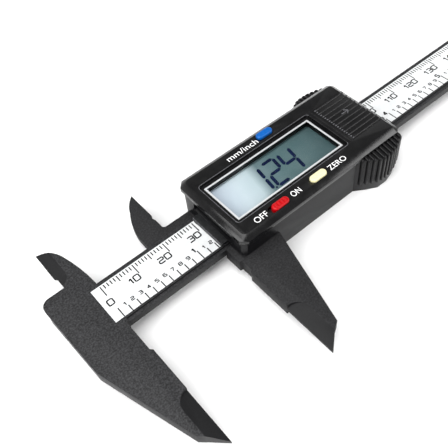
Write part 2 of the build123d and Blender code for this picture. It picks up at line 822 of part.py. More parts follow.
# ================================================================ the assembly
BEAM_PIECES = {
    "beam_and_fixed_jaw": beam_and_fixed_jaw,
    "scale_plate": scale_plate,
    "scale_circuit_strip": scale_circuit_strip,
    "end_stop": end_stop,
    "end_stop_screws": stop_screws,
}
SLIDER_PIECES = {
    "slider_frame": slider_frame,
    "front_cover": front_cover,
    "front_cover_screws": front_screws,
    "back_cover": back_cover,
    "back_cover_screws": back_screws,
    "display_bezel": display_bezel,
    "display_window": display_window,
    "lcd_panel": lcd_panel,
    "lcd_reflector": lcd_reflector,
    "lcd_holder": lcd_holder,
    "zebra_strips": zebra_strips,
    "circuit_board": circuit_board,
    "board_screws": board_screws,
    "controller_chip": controller_chip,
    "board_components": board_components,
    "contact_domes": contact_domes,
    "mm_inch_button": mm_inch_button,
    "zero_button": zero_button,
    "power_switch": power_switch,
    "switch_carrier": switch_carrier,
    "switch_contact": switch_contact,
    "button_cell": button_cell,
    "negative_contact": negative_contact,
    "positive_contact": positive_contact,
    "battery_door": battery_door,
    "gib_strip": gib_strip,
    "gib_screws": gib_screws,
    "scale_wiper": wiper_block,
    "depth_rod": depth_rod,
    "depth_rod_clip": rod_clip,
    "depth_rod_screws": clip_screws,
}


def solids_of(made, place=Pos(0, 0, 0)):
    """Every separate solid of a piece, or of a group of like pieces, put in its place."""
    items = made if isinstance(made, list) else [made]
    return [place * solid for item in items for solid in item.solids()]


def assemble():
    pieces = {name: solids_of(make()) for name, make in BEAM_PIECES.items()}
    for name, make in SLIDER_PIECES.items():
        pieces[name] = solids_of(make(), Pos(opening, 0, 0))
    return pieces


def to_origin(pieces):
    """Moves the whole so that its origin is at the bottom centre of its box."""
    boxes = [solid.bounding_box() for solids in pieces.values() for solid in solids]
    low = [min(getattr(b.min, a) for b in boxes) for a in "XYZ"]
    high = [max(getattr(b.max, a) for b in boxes) for a in "XYZ"]
    shift = (-(low[0] + high[0]) / 2, -(low[1] + high[1]) / 2, -low[2])
    print("origin shift", [round(v, 4) for v in shift])
    print("overall size", [round(h - l, 3) for l, h in zip(low, high)])
    return {name: solids_of(solids, Pos(*shift)) for name, solids in pieces.items()}


os.makedirs("parts", exist_ok=True)
for piece_name, solids in to_origin(assemble()).items():
    shape = solids[0] if len(solids) == 1 else Compound(children=solids)
    export_step(shape, "parts/" + piece_name + ".step")
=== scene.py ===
import bpy
import bmesh
import json
import math
from mathutils import Euler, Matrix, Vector
from mathutils.bvhtree import BVHTree


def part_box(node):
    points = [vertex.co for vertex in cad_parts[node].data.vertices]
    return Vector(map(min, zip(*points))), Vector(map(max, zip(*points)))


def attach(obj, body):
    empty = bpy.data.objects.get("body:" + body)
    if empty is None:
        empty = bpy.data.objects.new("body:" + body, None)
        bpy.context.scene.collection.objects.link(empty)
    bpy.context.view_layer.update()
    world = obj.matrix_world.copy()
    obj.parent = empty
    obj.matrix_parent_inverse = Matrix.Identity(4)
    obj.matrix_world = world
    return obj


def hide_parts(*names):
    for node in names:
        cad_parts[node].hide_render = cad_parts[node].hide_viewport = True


# A digital caliper: black composite beam and jaws, a white printed scale, a gloss slider
# cover with a display, two press keys, a slide switch and a ribbed battery door.

MM = 0.001
INCH = 25.4

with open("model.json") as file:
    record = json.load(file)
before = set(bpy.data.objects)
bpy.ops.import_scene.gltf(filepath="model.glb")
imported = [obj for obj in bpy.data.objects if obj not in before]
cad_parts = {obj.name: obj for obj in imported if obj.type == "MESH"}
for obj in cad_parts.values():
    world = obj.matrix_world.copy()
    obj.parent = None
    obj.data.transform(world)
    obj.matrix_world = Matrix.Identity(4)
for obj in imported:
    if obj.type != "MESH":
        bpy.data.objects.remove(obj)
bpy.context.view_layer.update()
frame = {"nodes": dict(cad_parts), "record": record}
nodes = frame["nodes"]

faces = {m["name"]: Vector(m["pos_m"]) for m in frame["record"]["mounts"]}
plate_low, plate_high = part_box("scale_plate")
cover_low, cover_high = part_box("front_cover")
frame_low, frame_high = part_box("slider_frame")
door_low, door_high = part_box("battery_door")
glass_low, glass_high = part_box("lcd_panel")
bezel_low, bezel_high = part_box("display_bezel")
switch_low, switch_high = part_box("power_switch")

zero_x = faces["fixed_outside_face"].x            # the scale's zero
slider_x = faces["moving_outside_face"].x         # the moving measuring face
mid_y = (plate_low.y + plate_high.y) / 2          # the beam's centreline
plate_z = plate_high.z
cover_z = cover_high.z

shell = BVHTree.FromPolygons([v.co for v in nodes["slider_frame"].data.vertices],
                             [p.vertices[:] for p in nodes["slider_frame"].data.polygons])


def wall_y(x, z, side):
    """Where the slider frame's side wall stands, met from outside."""
    return shell.ray_cast(Vector((x, side * 0.1, z)), Vector((0, -side, 0)))[0].y


def top_z(x, y):
    """How high the slider frame reaches, met from above."""
    return shell.ray_cast(Vector((x, y, 0.1)), Vector((0, 0, -1)))[0].z


body_near = wall_y((cover_low.x + cover_high.x) / 2, 6 * MM, -1)
body_far = wall_y((cover_low.x + cover_high.x) / 2, 6 * MM, 1)


# ---------------------------------------------------------------- colours and nodes
def linear(code):
    """An sRGB hex value as linear colour."""
    parts = [int(code[i:i + 2], 16) / 255 for i in (1, 3, 5)]
    return [c / 12.92 if c <= 0.04045 else ((c + 0.055) / 1.055) ** 2.4 for c in parts] + [1.0]


def add(tree, kind, sockets=None, **settings):
    """Adds a node with its settings; a socket takes a value or another node's output."""
    node = tree.nodes.new(kind)
    for name, value in settings.items():
        setattr(node, name, value)
    for key, value in (sockets or {}).items():
        if isinstance(value, bpy.types.NodeSocket):
            tree.links.new(value, node.inputs[key])
        else:
            node.inputs[key].default_value = value
    return node


def surface(name, sockets):
    """A material with one Principled shader; returns it, its tree, the shader and its coordinates."""
    material = bpy.data.materials.new(name)
    material.use_nodes = True
    tree = material.node_tree
    tree.nodes.clear()
    shader = add(tree, "ShaderNodeBsdfPrincipled", sockets)
    add(tree, "ShaderNodeOutputMaterial", {"Surface": shader.outputs["BSDF"]})
    place = add(tree, "ShaderNodeTexCoord").outputs["Object"]
    return material, tree, shader, place


def mottled(name, dark, light, size_mm, rough, bump=0.0, spread=(0.35, 0.65), **sockets):
    """A surface whose colour, roughness and relief vary with a noise of a real grain size."""
    material, tree, shader, place = surface(name, sockets)
    grain = add(tree, "ShaderNodeTexNoise",
                {"Vector": place, "Scale": 1 / (size_mm * MM), "Detail": 3.0, "Roughness": 0.6})
    sharp = add(tree, "ShaderNodeMapRange", {"Value": grain.outputs["Fac"], "From Min": spread[0],
                                             "From Max": spread[1]}).outputs["Result"]
    colour = add(tree, "ShaderNodeMix", {0: sharp, 6: linear(dark), 7: linear(light)},
                 data_type="RGBA")
    tree.links.new(colour.outputs[2], shader.inputs["Base Color"])
    gloss = add(tree, "ShaderNodeMapRange", {"Value": sharp, "To Min": rough[0], "To Max": rough[1]})
    tree.links.new(gloss.outputs["Result"], shader.inputs["Roughness"])
    if bump:
        relief = add(tree, "ShaderNodeBump", {"Height": grain.outputs["Fac"], "Strength": 1.0,
                                              "Distance": bump * MM})
        tree.links.new(relief.outputs["Normal"], shader.inputs["Normal"])
    return material


def brushed(name, dark, light, along, rough, metallic=1.0):
    """Metal with fine lines along one axis: noise stretched forty to one."""
    material, tree, shader, place = surface(name, {"Metallic": metallic})
    stretch = [0.06, 0.06, 0.06]
    stretch["XYZ".index(along)] = 2.4
    lines = add(tree, "ShaderNodeTexNoise", {
        "Vector": add(tree, "ShaderNodeMapping", {
            "Vector": place, "Scale": [1 / (s * MM) for s in stretch]}).outputs["Vector"],
        "Scale": 1.0, "Detail": 4.0})
    colour = add(tree, "ShaderNodeMix", {0: lines.outputs["Fac"], 6: linear(dark), 7: linear(light)},
                 data_type="RGBA")
    gloss = add(tree, "ShaderNodeMapRange", {"Value": lines.outputs["Fac"], "To Min": rough[0],
                                             "To Max": rough[1]})
    tree.links.new(colour.outputs[2], shader.inputs["Base Color"])
    tree.links.new(gloss.outputs["Result"], shader.inputs["Roughness"])
    return material


# Fibre-filled nylon. Where the mould is sparked it is dull charcoal with paler fibre ends as
# specks; where the mould is polished, on bevels and on the housing's body, it is nearly black
# with a low sheen. On the knife bevels this near-black also serves as painted shade, for slopes
# that face away from the light. The grit is 0.2 mm; it is drawn at 0.45 mm so that it shows.
POLISHED_AND_BEVEL_SHADE = ("#08080a", "#101012")
GRIT = 0.45 * MM
MATT = 0.62


def filled_nylon(name, grained, masks, polish):
    """Two finishes of one moulding; masks gives where it is sparked and where it is matt."""
    material, tree, shader, place = surface(name, {"Specular IOR Level": 0.28})
    grain = add(tree, "ShaderNodeTexNoise", {"Vector": place, "Scale": 1 / GRIT, "Detail": 3.0,
                                             "Roughness": 0.65})
    fibre = add(tree, "ShaderNodeMapRange", {"Value": grain.outputs["Fac"], "From Min": 0.36,
                                             "From Max": 0.72}).outputs["Result"]
    sparked, matt = masks(tree, place)
    colours = [add(tree, "ShaderNodeMix", {0: fibre, 6: linear(dark), 7: linear(light)},
                   data_type="RGBA").outputs[2] for dark, light in (POLISHED_AND_BEVEL_SHADE, grained)]
    # Painted shade in part: faces that are not sparked take the near-black polished colour, which on the knife
    # bevels stands for their shade.
    colour = add(tree, "ShaderNodeMix", {0: sparked, 6: colours[0], 7: colours[1]}, data_type="RGBA")
    gloss = add(tree, "ShaderNodeMapRange", {"Value": matt, "To Min": polish, "To Max": MATT})
    depth = add(tree, "ShaderNodeMapRange", {"Value": sparked, "To Min": 0.02, "To Max": 1.0})
    relief = add(tree, "ShaderNodeBump", {"Height": grain.outputs["Fac"],
                                          "Strength": depth.outputs["Result"], "Distance": 0.05 * MM})
    tree.links.new(colour.outputs[2], shader.inputs["Base Color"])
    tree.links.new(gloss.outputs["Result"], shader.inputs["Roughness"])
    tree.links.new(relief.outputs["Normal"], shader.inputs["Normal"])
    return material


def level_faces(tree, place):
    """Sparked on faces square to Z, polished on the knife edges' slopes and on the sides; the darker colour on
    the knife slopes is painted shade as well.
    """
    normal = add(tree, "ShaderNodeNewGeometry").outputs["True Normal"]
    z = add(tree, "ShaderNodeSeparateXYZ", {"Vector": normal}).outputs["Z"]
    size = add(tree, "ShaderNodeMath", {0: z}, operation="ABSOLUTE").outputs[0]
    level = add(tree, "ShaderNodeMath", {0: size, 1: 0.985}, operation="GREATER_THAN").outputs[0]
    return level, level


def jaw_faces(tree, place):
    """Sparked on the level faces of the slider's two jaws, matt all over them, else polished; the near-black on
    the jaws' knife bevels is painted shade as well.
    """
    axes = add(tree, "ShaderNodeSeparateXYZ", {"Vector": place})
    corner = (("X", slider_x + 14.9 * MM), ("Y", body_near - 0.05 * MM), ("X", slider_x + 1.5 * MM))
    root, near, blade = (add(tree, "ShaderNodeMath", {0: axes.outputs[axis], 1: limit},
                             operation="LESS_THAN").outputs[0] for axis, limit in corner)
    outer = add(tree, "ShaderNodeMath", {0: root, 1: near}, operation="MULTIPLY").outputs[0]
    jaw = add(tree, "ShaderNodeMath", {0: outer, 1: blade}, operation="MAXIMUM").outputs[0]
    sparked = add(tree, "ShaderNodeMath", {0: jaw, 1: level_faces(tree, place)[0]},
                  operation="MULTIPLY").outputs[0]
    return sparked, jaw


composite = filled_nylon("nylon_fibre_filled_spark_grained", ("#101011", "#39393b"), level_faces, 0.50)
housing = filled_nylon("nylon_filled_smooth_body_grained_jaws", ("#0d0d0e", "#28282a"), jaw_faces, 0.30)
backing = mottled("nylon_fibre_filled_moulded_back", "#101011", "#2e2e30", 0.45, (0.50, 0.72), 0.05)

# ABS from a polished mould: nearly black and glossy, with a faint ripple from the moulding.
gloss_black = mottled("abs_gloss_black_polished_mould", "#060607", "#0b0b0c", 3.0, (0.18, 0.26), 0.006,
                      **{"Specular IOR Level": 0.38})
# The thumb rests' ribs: the filled nylon where it is polished and handled, black with a low sheen.
rib_black = mottled("nylon_filled_black_handled_ribs", "#050506", "#0a0a0b", 0.6, (0.28, 0.40), 0.01,
                    **{"Specular IOR Level": 0.22})
# Painted highlight: a mid grey laid on small edges of the black mouldings, for the light that they catch.
edge_highlight_grey = mottled("abs_black_painted_edge_highlight", "#3c3c3f", "#5a5a5e", 0.6, (0.25, 0.35))

# Lacquered steel strip: flat white with a trace of cloudiness.
scale_white = mottled("steel_white_lacquered_screen_print_ground", "#d0d2d3", "#dcdede", 4.0, (0.30, 0.42))

# Screen ink: dark grey, slightly uneven where the mesh let less through.
ink_dark = mottled("ink_dark_grey_screen_printed", "#0c0c0e", "#1c1c1e", 0.3, (0.5, 0.65),
                   **{"Specular IOR Level": 0.2})
ink_white = mottled("ink_white_pad_printed", "#e8e8e8", "#f8f8f8", 0.3, (0.45, 0.6))



def stamped_frame():
    """Silver foil pressed on the level face of a moulded frame, bright there; the walls are black, painted shade
    for the bezel's dark inner walls.
    """
    material, tree, shader, place = surface("silver_foil_top_walls_painted_shade",
                                            {"Metallic": 0.5, "Roughness": 0.34})
    cloud = add(tree, "ShaderNodeTexNoise", {"Vector": place, "Scale": 1 / (2.0 * MM)})
    foil_colour = add(tree, "ShaderNodeMix", {0: cloud.outputs["Fac"], 6: linear("#d8dadc"),
                                              7: linear("#e6e8ea")}, data_type="RGBA").outputs[2]
    # Painted shade: faces that are not level take near-black instead of the foil.
    colour = add(tree, "ShaderNodeMix", {0: level_faces(tree, place)[0], 6: linear("#08080a"),
                                         7: foil_colour}, data_type="RGBA")
    tree.links.new(colour.outputs[2], shader.inputs["Base Color"])
    return material


silver_top_shaded_walls = stamped_frame()


# The edge of the display's painted reflection leans along X for each length along Y.
REFLECTION_EDGE_LEAN = 0.16             # how far the pale sheen leans along X for each length along Y


def display_material():
    """Liquid crystal cell with a painted reflection: pale at its left third, falling off to grey-green glass."""
    material, tree, shader, place = surface("glass_liquid_crystal_painted_reflection",
                                            {"Roughness": 0.25, "Specular IOR Level": 0.12})
    axes = add(tree, "ShaderNodeSeparateXYZ", {"Vector": place})
    lean = add(tree, "ShaderNodeMath", {0: axes.outputs["Y"], 1: -REFLECTION_EDGE_LEAN, 2: axes.outputs["X"]},
               operation="MULTIPLY_ADD").outputs[0]
    shift = -mid_y * REFLECTION_EDGE_LEAN
    along = add(tree, "ShaderNodeMapRange", {
        "Value": lean, "From Min": glass_low.x + shift, "From Max": glass_high.x + shift})
    reflection_ramp = add(tree, "ShaderNodeValToRGB", {"Fac": along.outputs["Result"]})
    # Painted reflection: the pale stops at the left stand for a softbox mirrored in the window; the grey-green
    # stops are the cell's own colour.
    stops = [(0.0, "#b6c3d2"), (0.20, "#c2d2d9"), (0.32, "#b4c6cc"), (0.41, "#5c7579"),
             (0.60, "#4a6669"), (1.0, "#3a5457")]
    ramp = reflection_ramp.color_ramp
    while len(ramp.elements) < len(stops):
        ramp.elements.new(0.5)
    for element, (place_on, code) in zip(ramp.elements, stops):
        element.position = place_on
        element.color = linear(code)
    cloud = add(tree, "ShaderNodeTexNoise", {"Vector": place, "Scale": 1 / (6.0 * MM)})
    tint = add(tree, "ShaderNodeMix", {0: 0.05, 6: reflection_ramp.outputs["Color"], 7: cloud.outputs["Fac"]},
               data_type="RGBA")
    tree.links.new(tint.outputs[2], shader.inputs["Base Color"])
    return material


display_glass = display_material()

# Liquid crystal segments switched on: deep blue-black.
segment_blue = mottled("liquid_crystal_segment_dark", "#08122e", "#0e1c40", 2.0, (0.3, 0.4),
                       **{"Specular IOR Level": 0.1})

# Acrylic sheet, cast and polished: almost invisible, with a light reflection.
window_clear = mottled("acrylic_clear_polished", "#0c1416", "#101a1c", 5.0, (0.02, 0.05), **{"Alpha": 0.06})

# ABS keys from a fine-textured mould: strong colours with a soft sheen.
key_blue = mottled("abs_blue_fine_textured", "#00509c", "#005aac", 0.5, (0.30, 0.40), 0.01,
                   **{"Specular IOR Level": 0.25})
key_cream = mottled("abs_cream_fine_textured", "#dad3a2", "#e6e0b6", 0.5, (0.30, 0.40), 0.01,
                    **{"Specular IOR Level": 0.25})
key_red = mottled("abs_red_fine_textured", "#a40008", "#b4020c", 0.5, (0.30, 0.40), 0.01,
                  **{"Specular IOR Level": 0.25})

# Moulded acetal, slippery: the wiper lip is near black, painted shade for the dark mouth of the slider.
wiper_painted_shade = mottled("acetal_wiper_painted_shade", "#18191a", "#232425", 0.8, (0.30, 0.40))
# The switch carrier's black is painted shade for the slide's flange deep in the switch slot.
carrier_painted_shade = mottled("acetal_carrier_painted_shade", "#0c0c0d", "#161617", 0.8, (0.35, 0.45))

# Metals: rolled, turned or plated, with lines along the way they were worked.
steel_rod = brushed("steel_rod_rolled", "#9a9b9d", "#c2c3c5", "X", (0.22, 0.36))
steel_turned = brushed("steel_screw_turned_zinc_plated", "#8f9193", "#c6c8ca", "Y", (0.25, 0.40))
brass_sprung = brushed("brass_strip_gold_flashed", "#c79a4a", "#e2be74", "X", (0.22, 0.34))

# What is inside: laminate, resin, rubber and black nylon.
laminate = mottled("epoxy_glass_laminate_green_resist", "#0c3a22", "#14502f", 1.2, (0.35, 0.5), 0.01)
resin = mottled("epoxy_resin_black_potted", "#101011", "#1b1b1c", 0.6, (0.30, 0.5), 0.02)
rubber = mottled("silicone_rubber_carbon_layered", "#1a1a1b", "#38383a", 0.2, (0.6, 0.75), 0.01)
# The LCD holder is black nylon, and its black also stands as painted shade for the dark margin inside the
# window's edges.
nylon_black_and_shade = mottled("nylon_black_holder_painted_shade", "#0b0b0c", "#141415", 0.8, (0.4, 0.55), 0.01)
foil = mottled("aluminium_foil_matt", "#c4c8c8", "#d6dada", 0.5, (0.35, 0.5), **{"Metallic": 1.0})

node_materials = {
    "scale_plate": scale_white, "scale_circuit_strip": laminate, "end_stop": steel_turned,
    "end_stop_screws": steel_turned, "front_cover_screws": steel_turned, "back_cover": backing,
    "back_cover_screws": steel_turned, "display_bezel": silver_top_shaded_walls, "display_window": window_clear,
    "lcd_panel": display_glass, "lcd_reflector": foil, "lcd_holder": nylon_black_and_shade,
    "zebra_strips": rubber, "circuit_board": laminate, "board_screws": steel_turned,
    "controller_chip": resin, "board_components": resin, "contact_domes": steel_turned,
    "mm_inch_button": key_blue, "zero_button": key_cream, "power_switch": key_red, "switch_carrier": carrier_painted_shade,
    "switch_contact": brass_sprung, "button_cell": steel_turned, "negative_contact": brass_sprung,
    "positive_contact": brass_sprung, "gib_strip": brass_sprung, "gib_screws": steel_turned,
    "scale_wiper": wiper_painted_shade, "depth_rod": steel_rod, "depth_rod_clip": steel_turned,
    "depth_rod_screws": steel_turned,
}


def paint(obj, material):
    """Every slot of a piece takes one material."""
    if not obj.data.materials:
        obj.data.materials.append(material)
    for i in range(len(obj.data.materials)):
        obj.data.materials[i] = material


for node_name, material in node_materials.items():
    paint(nodes[node_name], material)


# ---------------------------------------------------------------- pieces
def keep(obj, body, material=None):
    """A finished mesh: painted if given a material, and hung in place on its body's empty."""
    if material:
        paint(obj, material)
    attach(obj, body)
    return obj


def mesh_object(name, verts, edges=(), polygons=()):
    mesh = bpy.data.meshes.new(name)
    mesh.from_pydata([tuple(v) for v in verts], list(edges), list(polygons))
    obj = bpy.data.objects.new(name, mesh)
    bpy.context.scene.collection.objects.link(obj)
    return obj


def evaluated(obj):
    """The object with its modifiers turned into a plain mesh."""
    bpy.context.view_layer.update()
    graph = bpy.context.evaluated_depsgraph_get()
    mesh = bpy.data.meshes.new_from_object(obj.evaluated_get(graph))
    obj.modifiers.clear()
    obj.data = mesh
    return obj


def softened(node, material, body, width_mm, angle=32):
    """A merged copy of a CAD node with its edges broken, which stands for it."""
    mesh = nodes[node].data.copy()
    obj = bpy.data.objects.new(node + "_finished", mesh)
    bpy.context.scene.collection.objects.link(obj)
    bm = bmesh.new()
    bm.from_mesh(mesh)
    bmesh.ops.remove_doubles(bm, verts=bm.verts, dist=0.002 * MM)
    bmesh.ops.dissolve_limit(bm, angle_limit=math.radians(1.0), verts=bm.verts, edges=bm.edges)
    bm.to_mesh(mesh)
    bm.free()
    bevel = obj.modifiers.new("edge", "BEVEL")
    bevel.width = width_mm * MM
    bevel.segments = 2
    bevel.limit_method = "ANGLE"
    bevel.angle_limit = math.radians(angle)
    bevel.use_clamp_overlap = True
    bevel.harden_normals = False
    evaluated(obj)
    for polygon in obj.data.polygons:
        polygon.use_smooth = True
    obj.data.set_sharp_from_angle(angle=math.radians(28))
    paint(obj, material)
    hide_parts(node)
    return keep(obj, body)


softened("beam_and_fixed_jaw", composite, "beam", 0.22)
softened("slider_frame", housing, "slider", 0.18)
softened("front_cover", gloss_black, "slider", 0.10)
softened("battery_door", gloss_black, "door", 0.14)


# ---------------------------------------------------------------- node trees for repeats
def new_tree(name, inputs):
    tree = bpy.data.node_groups.new(name, "GeometryNodeTree")
    tree.interface.new_socket("Geometry", in_out="INPUT", socket_type="NodeSocketGeometry")
    for label, kind in inputs:
        tree.interface.new_socket(label, in_out="INPUT", socket_type="NodeSocket" + kind)
    tree.interface.new_socket("Geometry", in_out="OUTPUT", socket_type="NodeSocketGeometry")
    return tree, add(tree, "NodeGroupInput").outputs


def finish_tree(tree, geometry, material):
    whole = add(tree, "GeometryNodeRealizeInstances", {0: geometry})
    painted = add(tree, "GeometryNodeSetMaterial", {"Geometry": whole.outputs[0], "Material": material})
    add(tree, "NodeGroupOutput", {0: painted.outputs[0]})
    return tree


def tick_tree():
    """A row of printed marks along X: short, with longer ones at every fifth and tenth."""
    tree, given = new_tree("scale_marks", [
        ("Count", "Int"), ("Pitch", "Float"), ("Width", "Float"), ("Short", "Float"),
        ("Middle", "Float"), ("Long", "Float"), ("Start", "Vector"), ("Depth", "Float"),
        ("Material", "Material")])
    step = add(tree, "ShaderNodeCombineXYZ", {"X": given["Pitch"]})
    row = add(tree, "GeometryNodeMeshLine", {"Count": given["Count"], "Start Location": given["Start"],
                                             "Offset": step.outputs[0]})
    index = add(tree, "GeometryNodeInputIndex").outputs[0]

    def every(number):
        rest = add(tree, "ShaderNodeMath", {0: index, 1: float(number)}, operation="MODULO").outputs[0]
        return add(tree, "ShaderNodeMath", {0: rest, 1: 0.5}, operation="LESS_THAN").outputs[0]

    fifth = add(tree, "GeometryNodeSwitch", {"Switch": every(5), "False": given["Short"],
                                             "True": given["Middle"]}, input_type="FLOAT")
    tenth = add(tree, "GeometryNodeSwitch", {"Switch": every(10), "False": fifth.outputs[0],
                                             "True": given["Long"]}, input_type="FLOAT")
    size = add(tree, "ShaderNodeCombineXYZ", {"X": given["Width"], "Y": tenth.outputs[0],
                                              "Z": given["Depth"]})
    bar = add(tree, "GeometryNodeMeshCube", {"Size": (1, 1, 1)})
    moved = add(tree, "GeometryNodeTransform", {"Geometry": bar.outputs[0], "Translation": (0, 0.5, 0.5)})
    marks = add(tree, "GeometryNodeInstanceOnPoints", {"Points": row.outputs[0],
                                                       "Instance": moved.outputs[0],
                                                       "Scale": size.outputs[0]})
    return finish_tree(tree, marks.outputs[0], given["Material"])


def stroke_tree(name, normals):
    """Lines drawn as bars: each run of edges gets rounded corners and a box section."""
    tree, given = new_tree(name, [
        ("Width", "Float"), ("Height", "Float"), ("Corner", "Float"), ("Section Corner", "Float"),
        ("Material", "Material")])
    lines = add(tree, "GeometryNodeMeshToCurve", {0: given["Geometry"]})
    turned = add(tree, "GeometryNodeSetCurveNormal", {"Curve": lines.outputs[0]}, mode=normals)
    bent = add(tree, "GeometryNodeFilletCurve", {"Curve": turned.outputs[0], "Radius": given["Corner"],
                                                 "Count": 4, "Limit Radius": True}, mode="POLY")
    section = add(tree, "GeometryNodeCurvePrimitiveQuadrilateral", {"Width": given["Width"],
                                                                    "Height": given["Height"]})
    eased = add(tree, "GeometryNodeFilletCurve", {"Curve": section.outputs[0],
                                                  "Radius": given["Section Corner"], "Count": 2,
                                                  "Limit Radius": True}, mode="POLY")
    bars = add(tree, "GeometryNodeCurveToMesh", {"Curve": bent.outputs[0],
                                                 "Profile Curve": eased.outputs[0],
                                                 "Fill Caps": True})
    return finish_tree(tree, bars.outputs[0], given["Material"])


def rib_tree():
    """A row of straight rounded ribs: each lies along one axis and the row runs along Step."""
    tree, given = new_tree("rib_row", [
        ("Count", "Int"), ("Start", "Vector"), ("Step", "Vector"), ("Along", "Vector"),
        ("Radius", "Float"), ("Material", "Material")])
    row = add(tree, "GeometryNodeMeshLine", {"Count": given["Count"], "Start Location": given["Start"],
                                             "Offset": given["Step"]})
    line = add(tree, "GeometryNodeCurvePrimitiveLine", {"Start": (0, 0, 0), "End": given["Along"]})
    section = add(tree, "GeometryNodeCurvePrimitiveCircle", {"Resolution": 12, "Radius": given["Radius"]})
    rib = add(tree, "GeometryNodeCurveToMesh", {"Curve": line.outputs[0],
                                                "Profile Curve": section.outputs[0],
                                                "Fill Caps": True})
    ribs = add(tree, "GeometryNodeInstanceOnPoints", {"Points": row.outputs[0],
                                                      "Instance": rib.outputs[0]})
    return finish_tree(tree, ribs.outputs[0], given["Material"])


def grown(obj, tree, values, body, smooth=False):
    """Runs a tree on an object with named input values and keeps the plain result."""
    modifier = obj.modifiers.new("grow", "NODES")
    modifier.node_group = tree
    keys = {i.name: i.identifier for i in tree.interface.items_tree if i.in_out == "INPUT"}
    for name, value in values.items():
        modifier[keys[name]] = value
    evaluated(obj)
    bm = bmesh.new()
    bm.from_mesh(obj.data)
    bmesh.ops.recalc_face_normals(bm, faces=bm.faces)
    bm.to_mesh(obj.data)
    bm.free()
    if smooth:
        for polygon in obj.data.polygons:
            polygon.use_smooth = True
        obj.data.set_sharp_from_angle(angle=math.radians(50))
    return keep(obj, body)


marks_tree = tick_tree()
bars_tree = stroke_tree("upright_bars", "MINIMUM_TWIST")
print_tree = stroke_tree("flat_strokes", "Z_UP")
ribs_tree = rib_tree()
INK = 0.02 * MM               # thickness of a print


# ---------------------------------------------------------------- the printed scale
grown(mesh_object("scale_millimetre_marks", [(0, 0, 0)]), marks_tree, {
    "Count": 151, "Pitch": MM, "Width": 0.32 * MM, "Short": -1.4 * MM, "Middle": -2.1 * MM,
    "Long": -3.4 * MM, "Start": (zero_x, plate_high.y - 0.35 * MM, plate_z), "Depth": INK,
    "Material": ink_dark}, "beam")

grown(mesh_object("scale_inch_marks", [(0, 0, 0)]), marks_tree, {
    "Count": 61, "Pitch": INCH / 10 * MM, "Width": 0.32 * MM, "Short": 2.05 * MM,
    "Middle": 2.05 * MM, "Long": 3.1 * MM, "Start": (zero_x, plate_low.y + 0.02 * MM, plate_z), "Depth": INK,
    "Material": ink_dark}, "beam")

# Square figures as pen strokes in a box one unit wide and high.
FIGURES = {
    "0": [[(0, 0), (1, 0), (1, 1), (0, 1), (0, 0)]],
    "1": [[(0.1, 0.7), (0.75, 1)], [(0.75, 1), (0.75, 0)]],
    "2": [[(0, 0.98), (1, 0.98), (1, 0.5), (0, 0.5), (0, 0), (1, 0)]],
    "3": [[(0.05, 1), (1, 1), (1, 0), (0, 0)], [(0.3, 0.52), (1, 0.52)]],
    "4": [[(0.72, 0), (0.72, 1)], [(0.72, 1), (0, 0.3)], [(0, 0.3), (1, 0.3)]],
    "5": [[(1, 1), (0, 1), (0, 0.55), (1, 0.55), (1, 0), (0, 0)]],
    "6": [[(0.95, 1), (0, 1), (0, 0), (1, 0), (1, 0.55), (0, 0.55)]],
    "7": [[(0, 1), (1, 1)], [(1, 1), (0.35, 0)]],
    "8": [[(0, 0), (1, 0), (1, 1), (0, 1), (0, 0)], [(0, 0.5), (1, 0.5)]],
    "9": [[(0.05, 0), (1, 0), (1, 1), (0, 1), (0, 0.45), (1, 0.45)]],
}


def figures(name, items, width, height, pen):
    """Numbers as stroked lines. Each item is text, its right end and its foot, in mm."""
    verts, edges = [], []
    for text, right, foot in items:
        x = right - width
        for letter in reversed(text):
            narrow = 0.6 if letter == "1" else 1.0
            x += width * (1 - narrow)
            for line in FIGURES[letter]:
                first = len(verts)
                verts += [(zero_x + (x + px * width * narrow) * MM, mid_y + (foot + py * height) * MM,
                           plate_z + INK / 2) for px, py in line]
                edges += [(first + i, first + i + 1) for i in range(len(line) - 1)]
            x -= width + 0.32 * width
    grown(mesh_object(name, verts, edges), print_tree, {
        "Width": pen * MM, "Height": INK, "Corner": 0.2 * height * MM, "Section Corner": 0.0,
        "Material": ink_dark}, "beam")


figures("scale_millimetre_figures",
        [("0", 0.45, -1.0)] + [(str(n), n - 0.45, 0.5) for n in range(10, 151, 10)], 1.6, 1.8, 0.40)
figures("scale_tenth_figures",
        [(str(t % 10), t * INCH / 10 - 0.2, -3.45) for t in range(1, 60) if t % 10],
        0.90, 0.98, 0.27)
figures("scale_inch_figures",
        [(str(n), n * INCH - 0.35, -2.8) for n in range(1, 7)], 1.1, 1.45, 0.40)


